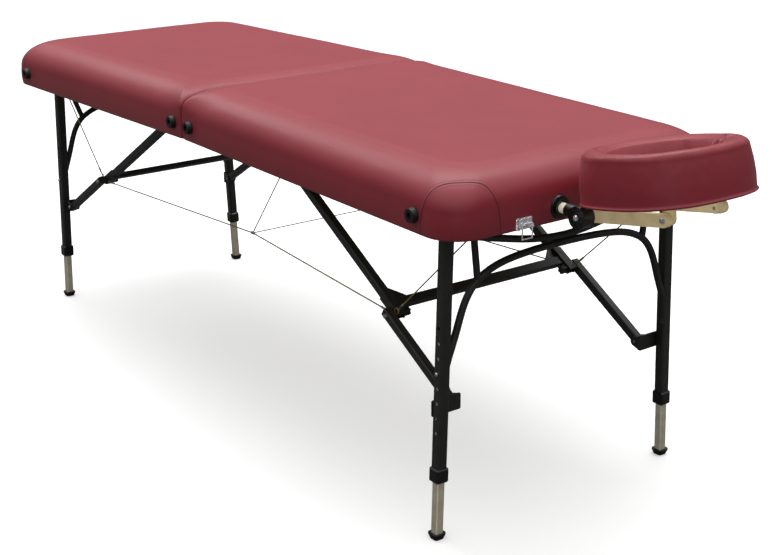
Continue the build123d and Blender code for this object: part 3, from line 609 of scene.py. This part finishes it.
def pad(name, side, rings, material, inset=0.0):
    """Pad of one half from its rings; also the length round its base and the ring girths, mm."""
    base = pad_outline(0, 0, 0, inset)
    count = len(base)
    around = np.concatenate([[0], np.cumsum(np.hypot(*np.diff(base, axis=0).T))]) * 1000
    fold_start = around[2 * LONG_STEPS + 2 * CORNER_STEPS + END_STEPS]
    to_fold = np.minimum(np.minimum(around, np.abs(around[-1] - around)),
                         np.abs(around - fold_start)) / 1000
    # share of the fold profile: 1 on the fold face, easing to 0 along the sides
    share = np.where(around > fold_start,
                     0.55 + to_fold / 0.045 * 0.45, 0.55 - to_fold / 0.085 * 0.55)
    share = np.clip(share, 0, 1)
    share = share * share * (3 - 2 * share)

    verts = []
    for k, (side_in, side_h, fold_in, fold_h, _) in enumerate(rings):
        end_in = side_in
        if k >= len(rings) - TOP_RINGS:
            reach = (0.33 - SIDE_ROLL_IN) * (side_in - SIDE_ROLL_IN)
            end_in = SIDE_ROLL_IN + reach / (HALF_WIDTH - SIDE_ROLL_IN)
        outline = pad_outline(side_in, end_in, fold_in, inset)
        height = side_h * (1 - share) + fold_h * share
        if side_h > THICKNESS - 0.0005:  # slight crown
            from_side = np.minimum(HALF_WIDTH - np.abs(outline[:, 1]), HALF_LENGTH - outline[:, 0])
            from_edge = np.minimum(from_side / 0.10, (outline[:, 0] - FOLD_GAP) / 0.06)
            height = height + 0.0012 * np.clip(from_edge, 0, 1)
        verts += [pad_point(side, along, y, h) for (along, y), h in zip(outline, height)]
    faces = band_faces(len(rings), count)
    if side == -1:
        faces = [face[::-1] for face in faces]
    made = mesh_object(name, verts, faces, material)
    return made, around, np.repeat([ring[4] for ring in rings], count)


def padded_top(name, side):
    rings = pad_rings()
    top, around, girth = pad(name, side, rings, MATERIALS["pad"])
    half_corner = CORNER_RADIUS * 1000 * math.pi / 4
    near_corner = around[LONG_STEPS] + half_corner
    far_corner = around[LONG_STEPS + CORNER_STEPS + END_STEPS] + half_corner
    from_near = np.tile(around - near_corner, len(rings))
    from_far = np.tile(far_corner - around, len(rings))
    nearest = np.where(np.abs(from_near) < np.abs(from_far), from_near, from_far)
    distance, along = arch_seam(nearest, girth)
    add_attribute(top, "arch_d", distance)
    add_attribute(top, "arch_t", along)
    add_attribute(top, "edge_d", np.full(len(girth), AWAY_FROM_SEAM))
    add_attribute(top, "edge_t", girth)
    clean_mesh(top, 0.00002)
    return top


def foam_core(name, side):
    core, _, _ = pad(name, side, core_rings(FOAM_INSET), MATERIALS["foam"], FOAM_INSET)
    clean_mesh(core, 0.00002)
    return core


for half, side in SIDES.items():
    top = padded_top(half + "_padded_top", side)
    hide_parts(half + "_vinyl_cover")
    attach(top, half + "_half")
    core = foam_core(half + "_foam_core", side)
    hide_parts(half + "_foam_pad")
    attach(core, half + "_half")

# ------------------------------------------------------------------ face cushion ring
# its own frame: x away from the table and tipped up, y across, and up square to both
CUSHION_TILT = math.radians(10)
CUSHION_X = Vector((math.cos(CUSHION_TILT), 0, math.sin(CUSHION_TILT)))
CUSHION_UP = Vector((-math.sin(CUSHION_TILT), 0, math.cos(CUSHION_TILT)))
CUSHION_ORIGIN = Vector((1.101, 0, 0.676))
OUTER_OVAL = (0.133, 0.143, 2.5)  # half sizes in x and y, superellipse power
HOLE_OVAL = (0.078, 0.091, 2.0)
CUSHION_STEPS = 360

# section, mm
EDGE_IN = 0.2
WALL_LEAN, WALL_BASE, WALL_RISE = 6.4, 1, 65.0
SHOULDER = 13.5
SHOULDER_IN = EDGE_IN + WALL_LEAN + SHOULDER
CUSHION_TOP = WALL_BASE + WALL_RISE + SHOULDER
TOP_DROP = 6.0  # fall of the top towards the hole
HOLE_RIM_OUT, HOLE_RIM_RADIUS = 12.0, 3.0

# elastic skirt under the edge, then the piped lip: out from the outer oval, height
SKIRT = [
    (-8.3, -11.2), (-7.0, -12.0), (-4.0, -12.0), (-1.0, -11.4), (1.3, -10.6), (2.4, -9.4),
    (2.3, -8.0), (1.2, -6.8), (0.2, -5.8), (-0.2, -3.0), (-0.2, 1.0),
]
# folds down the hole wall and puckers in the top: angle in degrees, width in radians, depth
HOLE_FOLDS = [(66, 0.055, 0.0064), (74, 0.045, -0.0046), (58, 0.04, -0.0034), (112, 0.09, 0.0026)]
PUCKERS = [(243, 0.06, 0.0044), (251, 0.035, 0.0036), (263, 0.05, 0.0026), (63, 0.08, 0.0022)]
# seams across the top: angle in degrees at the shoulder and at the hole
TOP_SEAMS = [(205.0, 230.0), (90.0, 55.0)]
RIM_SEAM = (88, 206)  # degrees, round the table side


def cushion_profile():
    """Section as (zone, offset, height), heights in mm.

    The offset is mm out from the oval of the outer wall or hole, or on the top
    the fraction of the way in from the shoulder to the hole.
    """
    rows = [("outer", out, height) for out, height in SKIRT]
    for i in range(1, 14):
        t = i / 13
        out = -EDGE_IN + 2.0 * math.sin(math.pi * t) - WALL_LEAN * t
        rows.append(("outer", out, WALL_BASE + WALL_RISE * t))
    for i in range(1, 13):
        angle = math.pi / 2 * i / 12
        out = -(EDGE_IN + WALL_LEAN) - SHOULDER * (1 - math.cos(angle))
        rows.append(("outer", out, WALL_BASE + WALL_RISE + SHOULDER * math.sin(angle)))
    for i in range(1, 14):
        t = i / 14
        rows.append(("top", t, CUSHION_TOP - TOP_DROP * t**1.4 + 0.8 * math.sin(math.pi * t)))
    for i in range(0, 7):  # tight rim of the hole
        angle = math.pi / 4 * i / 6
        out = HOLE_RIM_OUT + HOLE_RIM_RADIUS * (1 - math.sin(angle))
        rim_height = CUSHION_TOP - TOP_DROP - HOLE_RIM_RADIUS
        rows.append(("hole", out, rim_height + HOLE_RIM_RADIUS * math.cos(angle)))
    for i in range(1, 17):  # the wall slopes in, then drops
        t = i / 16
        rows.append(("hole", -7.0 + 19.88 * (1 - t) ** 2.4, 72.6 - 65.6 * t))
    return rows + [("hole", -4.5, 4.0), ("hole", 2.0, 1.0)]


def oval(half_x, half_y, power, angle):
    """Point on a superellipse, and the unit direction to it from the centre."""
    cos, sin = math.cos(angle), math.sin(angle)
    x = half_x * math.copysign(abs(cos) ** (2 / power), cos)
    y = half_y * math.copysign(abs(sin) ** (2 / power), sin)
    length = math.hypot(x, y)
    return x, y, x / length, y / length


def wrapped(angle):
    return (angle + math.pi) % (2 * math.pi) - math.pi


def hump(height, start, span):
    return math.sin(math.pi * min(1, max(0, (height - start) / span)))


def hole_gather(angle, height):
    """Depth of the gathers where the cover is drawn over the hole wall."""
    wander = noise.noise(Vector((2 * math.cos(angle), 2 * math.sin(angle), 1)))
    wave = math.sin(23 * angle + 2.2 * wander) ** 2
    patch = noise.noise(Vector((1.7 * math.cos(angle), 1.7 * math.sin(angle), 4)))
    gather = -0.0011 * wave * max(0.0, 0.5 + 0.5 * patch) * hump(height, 14, 60)
    for degrees, width, depth in HOLE_FOLDS:
        turn = wrapped(angle - math.radians(degrees) - 0.0016 * (height - 30))
        gather += depth * math.exp(-(turn / width) ** 2) * hump(height, 22, 52)
    return gather


def cushion_point(zone, offset, height, angle):
    """Point of the cover, and its radius from the hole's axis before any unevenness."""
    outer_x, outer_y, outer_ux, outer_uy = oval(*OUTER_OVAL, angle)
    hole_x, hole_y, hole_ux, hole_uy = oval(*HOLE_OVAL, angle)
    if zone == "outer":
        x, y = outer_x + outer_ux * offset / 1000, outer_y + outer_uy * offset / 1000
    elif zone == "hole":
        x, y = hole_x + hole_ux * offset / 1000, hole_y + hole_uy * offset / 1000
    else:
        shoulder, rim = SHOULDER_IN / 1000, (HOLE_RIM_OUT + HOLE_RIM_RADIUS) / 1000
        start_x, start_y = outer_x - outer_ux * shoulder, outer_y - outer_uy * shoulder
        end_x, end_y = hole_x + hole_ux * rim, hole_y + hole_uy * rim
        x, y = start_x + (end_x - start_x) * offset, start_y + (end_y - start_y) * offset
    z = height / 1000
    radius = math.hypot(x, y)
    broad = noise.noise(Vector((x * 22, y * 22, z * 22)))
    fine = noise.noise(Vector((x * 70, y * 70, z * 70 + 3)))
    push = 0.0
    if height > 6:
        push = 0.0009 * broad + 0.00035 * fine
        if zone == "hole":
            push -= hole_gather(angle, height)
    grow = 1 + push / radius * (1 if zone == "outer" else -1)
    if zone == "top" or (zone == "outer" and height > 70):
        z += 0.0010 * broad + 0.0004 * fine
    if zone == "top" or (zone == "hole" and height > 45):
        fade = math.sin(math.pi * min(1, offset * 0.8 + 0.25)) if zone == "top" else 1
        for degrees, width, depth in PUCKERS:
            turn = wrapped(angle - math.radians(degrees))
            if abs(turn) < width * 2.5:
                ripple = 0.45 + 0.55 * math.cos(turn / width * 5)
                z -= depth * math.exp(-(turn / width) ** 2) * ripple * fade
    x, y = x * grow, y * grow
    return CUSHION_ORIGIN + CUSHION_X * x + Vector((0, y, 0)) + CUSHION_UP * z, radius


def face_ring():
    profile = cushion_profile()
    angles = [2 * math.pi * j / CUSHION_STEPS for j in range(CUSHION_STEPS)]
    points = [cushion_point(*row, angle) for row in profile for angle in angles]
    faces = band_faces(len(profile), CUSHION_STEPS)
    verts = [point for point, _ in points]
    cover = mesh_object("face_cushion_cover", verts, faces, MATERIALS["ring"])
    clean_mesh(cover, 1e-6)

    # seam attributes, mm; the rim seam lies part way up the shoulder
    row = np.repeat(np.arange(len(profile), dtype=float), CUSHION_STEPS)
    angle = np.tile(angles, len(profile))
    radius = np.array([r for _, r in points]) * 1000
    rim_row = len(SKIRT) + 13 + 8.5
    top_rows = [k for k, entry in enumerate(profile) if entry[0] == "top"]
    inward = np.clip((row - top_rows[0]) / (top_rows[-1] - top_rows[0]), 0, 1)
    degrees = np.degrees(angle)
    on_rim = (degrees > RIM_SEAM[0]) & (degrees < RIM_SEAM[1])
    rim = np.clip((row - rim_row) * -1.9, -AWAY_FROM_SEAM, AWAY_FROM_SEAM)
    add_attribute(cover, "rim_d", np.where(on_rim, rim, AWAY_FROM_SEAM))
    add_attribute(cover, "rim_t", angle * 120)
    cut = np.full(len(angle), AWAY_FROM_SEAM)
    for at_shoulder, at_hole in TOP_SEAMS:
        seam = np.radians(at_shoulder + (at_hole - at_shoulder) * inward**0.8)
        distance = wrapped(angle - seam) * radius * 0.93
        cut = np.where(np.abs(distance) < np.abs(cut), distance, cut)
    cut = np.where(row < rim_row, AWAY_FROM_SEAM, cut)
    add_attribute(cover, "cut_d", np.clip(cut, -AWAY_FROM_SEAM, AWAY_FROM_SEAM))
    add_attribute(cover, "cut_t", radius)
    return cover


ring = face_ring()
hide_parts("face_cushion")
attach(ring, "face_rest")


# ------------------------------------------------------------------ wire rope and cords
def round_point(centre, across, up, radius, angle):
    return centre + across * (radius * math.cos(angle)) + up * (radius * math.sin(angle))


def circle(centre, across, up, radius, count):
    return [round_point(centre, across, up, radius, 2 * math.pi * j / count)
            for j in range(count)]


def rope(name, start, end, radius, material, strands=6, lay=0.012):
    """Twisted rope; lay sets the pitch of the twist."""
    start, end = Vector(start), Vector(end)
    span = end - start
    direction = span.normalized()
    across = direction.orthogonal().normalized()
    up = direction.cross(across)
    steps = int(span.length / 0.0022)
    count = strands * 4
    verts, grooves = [], []
    for i in range(steps + 1):
        t = i / steps
        twist = 2 * math.pi * t * span.length / (lay * strands)
        for j in range(count):
            angle = 2 * math.pi * j / count
            crown = 0.5 + 0.5 * math.cos(strands * (angle - twist))
            local = radius * (0.80 + 0.24 * crown)
            verts.append(round_point(start + span * t, across, up, local, angle))
            grooves.append(1 - crown)
    made = mesh_object(name, verts, band_faces(steps + 1, count), material)
    # groove depth, which the cable material turns into painted shade
    add_attribute(made, "lay", grooves)
    return made


def sleeve(name, origin, axis, length, chamfer, radius, end_radius, sides):
    """Turned zinc sleeve, chamfered at both ends."""
    axis = Vector(axis).normalized()
    across = axis.orthogonal().normalized()
    up = axis.cross(across)
    verts = []
    for along, r in ((0, end_radius), (chamfer, radius),
                     (length - chamfer, radius), (length, end_radius)):
        verts += circle(Vector(origin) + axis * along, across, up, r, sides)
    return mesh_object(name, verts, capped_faces(4, sides), MATERIALS["zinc"])


def wire(name, points, radius, material, sides):
    """Round wire along points."""
    verts = []
    across = None
    for i, point in enumerate(points):
        direction = (points[min(i + 1, len(points) - 1)] - points[max(i - 1, 0)]).normalized()
        if across is None:
            across = direction.orthogonal().normalized()
        else:
            across = (across - direction * across.dot(direction)).normalized()
        verts += circle(point, across, direction.cross(across), radius, sides)
    return mesh_object(name, verts, capped_faces(len(points), sides), material)


MEET_X, MEET_Y, MEET_Z = 0.6320769, 0.234, 0.3684111  # where a long and an end stay meet
JUNCTION_Y, JUNCTION_Z = 0.168, 0.366  # where the long stays meet below the fold
END_STAY_ALONG, END_STAY_HEIGHT = 0.893, 0.010
END_STAY_Y = {"head": 0.236, "foot": 0.225}
JUNCTION_LENGTH = 0.014


def corner_stays(half, row):
    """Long stay, end stay, their ferrules and the loop between them, at one corner."""
    side, row_side = SIDES[half], ROWS[row]
    prefix = f"{half}_{row}_"
    brass = MATERIALS["brass_cable"]
    meet = Vector((side * MEET_X, row_side * MEET_Y, MEET_Z))
    junction = Vector((0, row_side * JUNCTION_Y, JUNCTION_Z))
    long_start = meet + (junction - meet).normalized() * 0.018
    long_stay = rope(prefix + "long_stay", long_start, junction, 0.00145, brass)
    end = on_half(side, END_STAY_ALONG, row_side * END_STAY_Y[half], END_STAY_HEIGHT)
    end_start = meet + (end - meet).normalized() * 0.016
    end_stay = rope(prefix + "end_stay", end_start, end, 0.0014, brass)
    direction = (end - end_start).normalized()
    end_ferrule = sleeve(
        prefix + "stay_ferrule", end_start + direction * 0.012, end - end_start,
        length=0.014, chamfer=0.001, radius=0.0023, end_radius=0.0014, sides=16)
    long_ferrule = sleeve(
        prefix + "long_ferrule", long_start + (junction - long_start).normalized() * 0.014,
        junction - long_start,
        length=0.015, chamfer=0.001, radius=0.0024, end_radius=0.0014, sides=16)
    across = direction.cross(Vector((0, 1, 0))).normalized()
    loop_points = []
    for i in range(25):
        angle = 2 * math.pi * i / 24
        loop_points.append(end_start - direction * 0.004 + direction * (0.008 * math.cos(angle))
                           + across * (0.0055 * math.sin(angle)))
    loop = wire(prefix + "stay_loop", loop_points, 0.0011, brass, sides=10)
    # an even 0.3 on the groove mask: the loop is painted a little darker all over as shade
    add_attribute(loop, "lay", [0.3] * len(loop.data.vertices))
    return [long_stay, end_stay, end_ferrule, long_ferrule, loop]


def centre_stays():
    """Cross stay in two halves, with a cord up to the fold and a sleeve at each junction."""
    near, middle, far = ((0, y, JUNCTION_Z) for y in (-JUNCTION_Y, 0, JUNCTION_Y))
    pieces = [
        rope("cross_stay_near_half", near, middle, 0.0011, MATERIALS["grey_cable"]),
        rope("cross_stay_far_half", middle, far, 0.0011, MATERIALS["grey_cable"]),
    ]
    for row, row_side in ROWS.items():
        y = row_side * JUNCTION_Y
        pieces.append(rope(
            row + "_centre_cord", (0, y, JUNCTION_Z), (0, row_side * 0.012, UNDERSIDE_Z - 0.006),
            0.00125, MATERIALS["black_cord"], strands=8, lay=0.004))
        pieces.append(sleeve(
            row + "_stay_junction", (-JUNCTION_LENGTH / 2, y, JUNCTION_Z), (1, 0, 0),
            length=JUNCTION_LENGTH, chamfer=0.0015, radius=0.0032, end_radius=0.0016, sides=18))
    return pieces


stay_pieces = [(piece, half) for half in SIDES for row in ROWS for piece in corner_stays(half, row)]
stay_pieces += [(piece, "head") for piece in centre_stays()]
for piece, half in stay_pieces:
    side = SIDES[half]
    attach(piece, half + "_half")
    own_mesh(piece)
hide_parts("long_support_cables")
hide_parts("head_end_cables")
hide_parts("foot_end_cables")

# ------------------------------------------------------------------ camera
CAMERA_PLACE = (2.71358, -1.76138, 1.32430)
CAMERA_YAW, CAMERA_PITCH, CAMERA_ROLL = 2.5112, 0.3291, -0.0101  # radians, pitch is downward


def add_camera():
    data = bpy.data.cameras.new("camera")
    camera = bpy.data.objects.new("camera", data)
    scene.collection.objects.link(camera)
    view = Vector((
        math.cos(CAMERA_PITCH) * math.cos(CAMERA_YAW),
        math.cos(CAMERA_PITCH) * math.sin(CAMERA_YAW),
        -math.sin(CAMERA_PITCH),
    ))
    level = view.cross(Vector((0, 0, 1))).normalized()
    upright = level.cross(view)
    cos, sin = math.cos(CAMERA_ROLL), math.sin(CAMERA_ROLL)
    right = cos * level + sin * upright
    up = -sin * level + cos * upright
    rows = [(right[i], up[i], -view[i], CAMERA_PLACE[i]) for i in range(3)]
    camera.matrix_world = Matrix.Translation(OFFSET) @ Matrix((*rows, (0, 0, 0, 1)))
    data.sensor_width = 36.0
    data.lens = 66.0650769
    data.clip_start, data.clip_end = 0.05, 100
    scene.camera = camera


add_camera()


# ------------------------------------------------------------------ lights
def area(name, place, target, size, power):
    light = bpy.data.lights.new(name, "AREA")
    light.shape = "RECTANGLE"
    light.size, light.size_y = size
    light.energy = power
    made = bpy.data.objects.new(name, light)
    made.location = Vector(place) + OFFSET
    made.rotation_mode = "QUATERNION"
    made.rotation_quaternion = (Vector(target) - Vector(place)).to_track_quat("-Z", "Y")
    scene.collection.objects.link(made)
    return made


area("overhead", (-0.4, 0.55, 3.5), target=(-0.1, 0.25, 0.7), size=(3.4, 1.7), power=60)
area("left_soft", (-3.2, -0.4, 3.0), target=(0.3, 0.0, 0.6), size=(1.5, 1.5), power=14)
area("camera_fill", (4.2, -2.2, 1.5), target=(0.2, 0, 0.5), size=(1.6, 1.6), power=3)
# a low card that lights only the pale and plated pieces under the top
pale_names = ["cradle_arms", "cradle_platform", "cradle_posts",
              "latch_base", "latch_lever", "latch_bail"]
pale_names += [f"{half}_{row}_inner_leg" for half in SIDES for row in ROWS]
pale_parts = bpy.data.collections.new("pale_parts")
for name in pale_names:
    pale_parts.objects.link(nodes[name])
card = area("low_card", (3.2, -2.2, 0.55), target=(0.9, 0, 0.5), size=(1.4, 1.0), power=36)
card.light_linking.receiver_collection = pale_parts


# ------------------------------------------------------------------ world and floor
def add_world():
    """Bright ceiling and dim walls; the camera itself sees plain white."""
    world = bpy.data.worlds.new("studio")
    scene.world = world
    sky = Shader(world)
    generated = sky.node("TexCoord").outputs["Generated"]
    height = sky.node("SeparateXYZ", {0: generated}).outputs["Z"]
    climb = sky.remap(height, source=(0.0, 0.8), target=(0.0, 1.0))
    climb = sky.node("Math", {0: climb, 1: 1.4}, operation="POWER").outputs[0]
    # gain towards the ceiling, then the strength of the walls
    glow = sky.math("MULTIPLY_ADD", climb, 1.15, 0.045)
    seen = sky.node("LightPath").outputs["Is Camera Ray"]
    mixed = sky.node("Mix", {"Factor": seen, 2: glow, 3: 1.0}, data_type="FLOAT")
    background = sky.find("BACKGROUND")
    sky.feed(background.inputs["Strength"], mixed.outputs[0])
    sky.feed(background.inputs["Color"], (1.0, 1.0, 1.0, 1))


def add_floor():
    """Floor that looks pale to the camera but throws little light back."""
    m = Surface("pale_floor")
    pale = m.ramp(m.noise(scale=2.0), [(0.3, (0.84, 0.84, 0.84, 1)), (0.7, (0.87, 0.87, 0.87, 1))])
    seen = m.node("LightPath").outputs["Is Camera Ray"]
    material = m.finish(
        Base_Color=m.mix(seen, (0.13, 0.13, 0.13, 1), pale), Roughness=0.9,
        Specular_IOR_Level=0.1, Emission_Color=(1, 1, 1, 1),
        Emission_Strength=m.times(seen, 0.38),
    )
    reach, z = 30, -0.0005
    corners = [(-reach, -reach, z), (reach, -reach, z), (reach, reach, z), (-reach, reach, z)]
    return mesh_object("floor", corners, [(0, 1, 2, 3)], material, smooth=False)


add_world()
add_floor()
scene.view_settings.view_transform = "Standard"
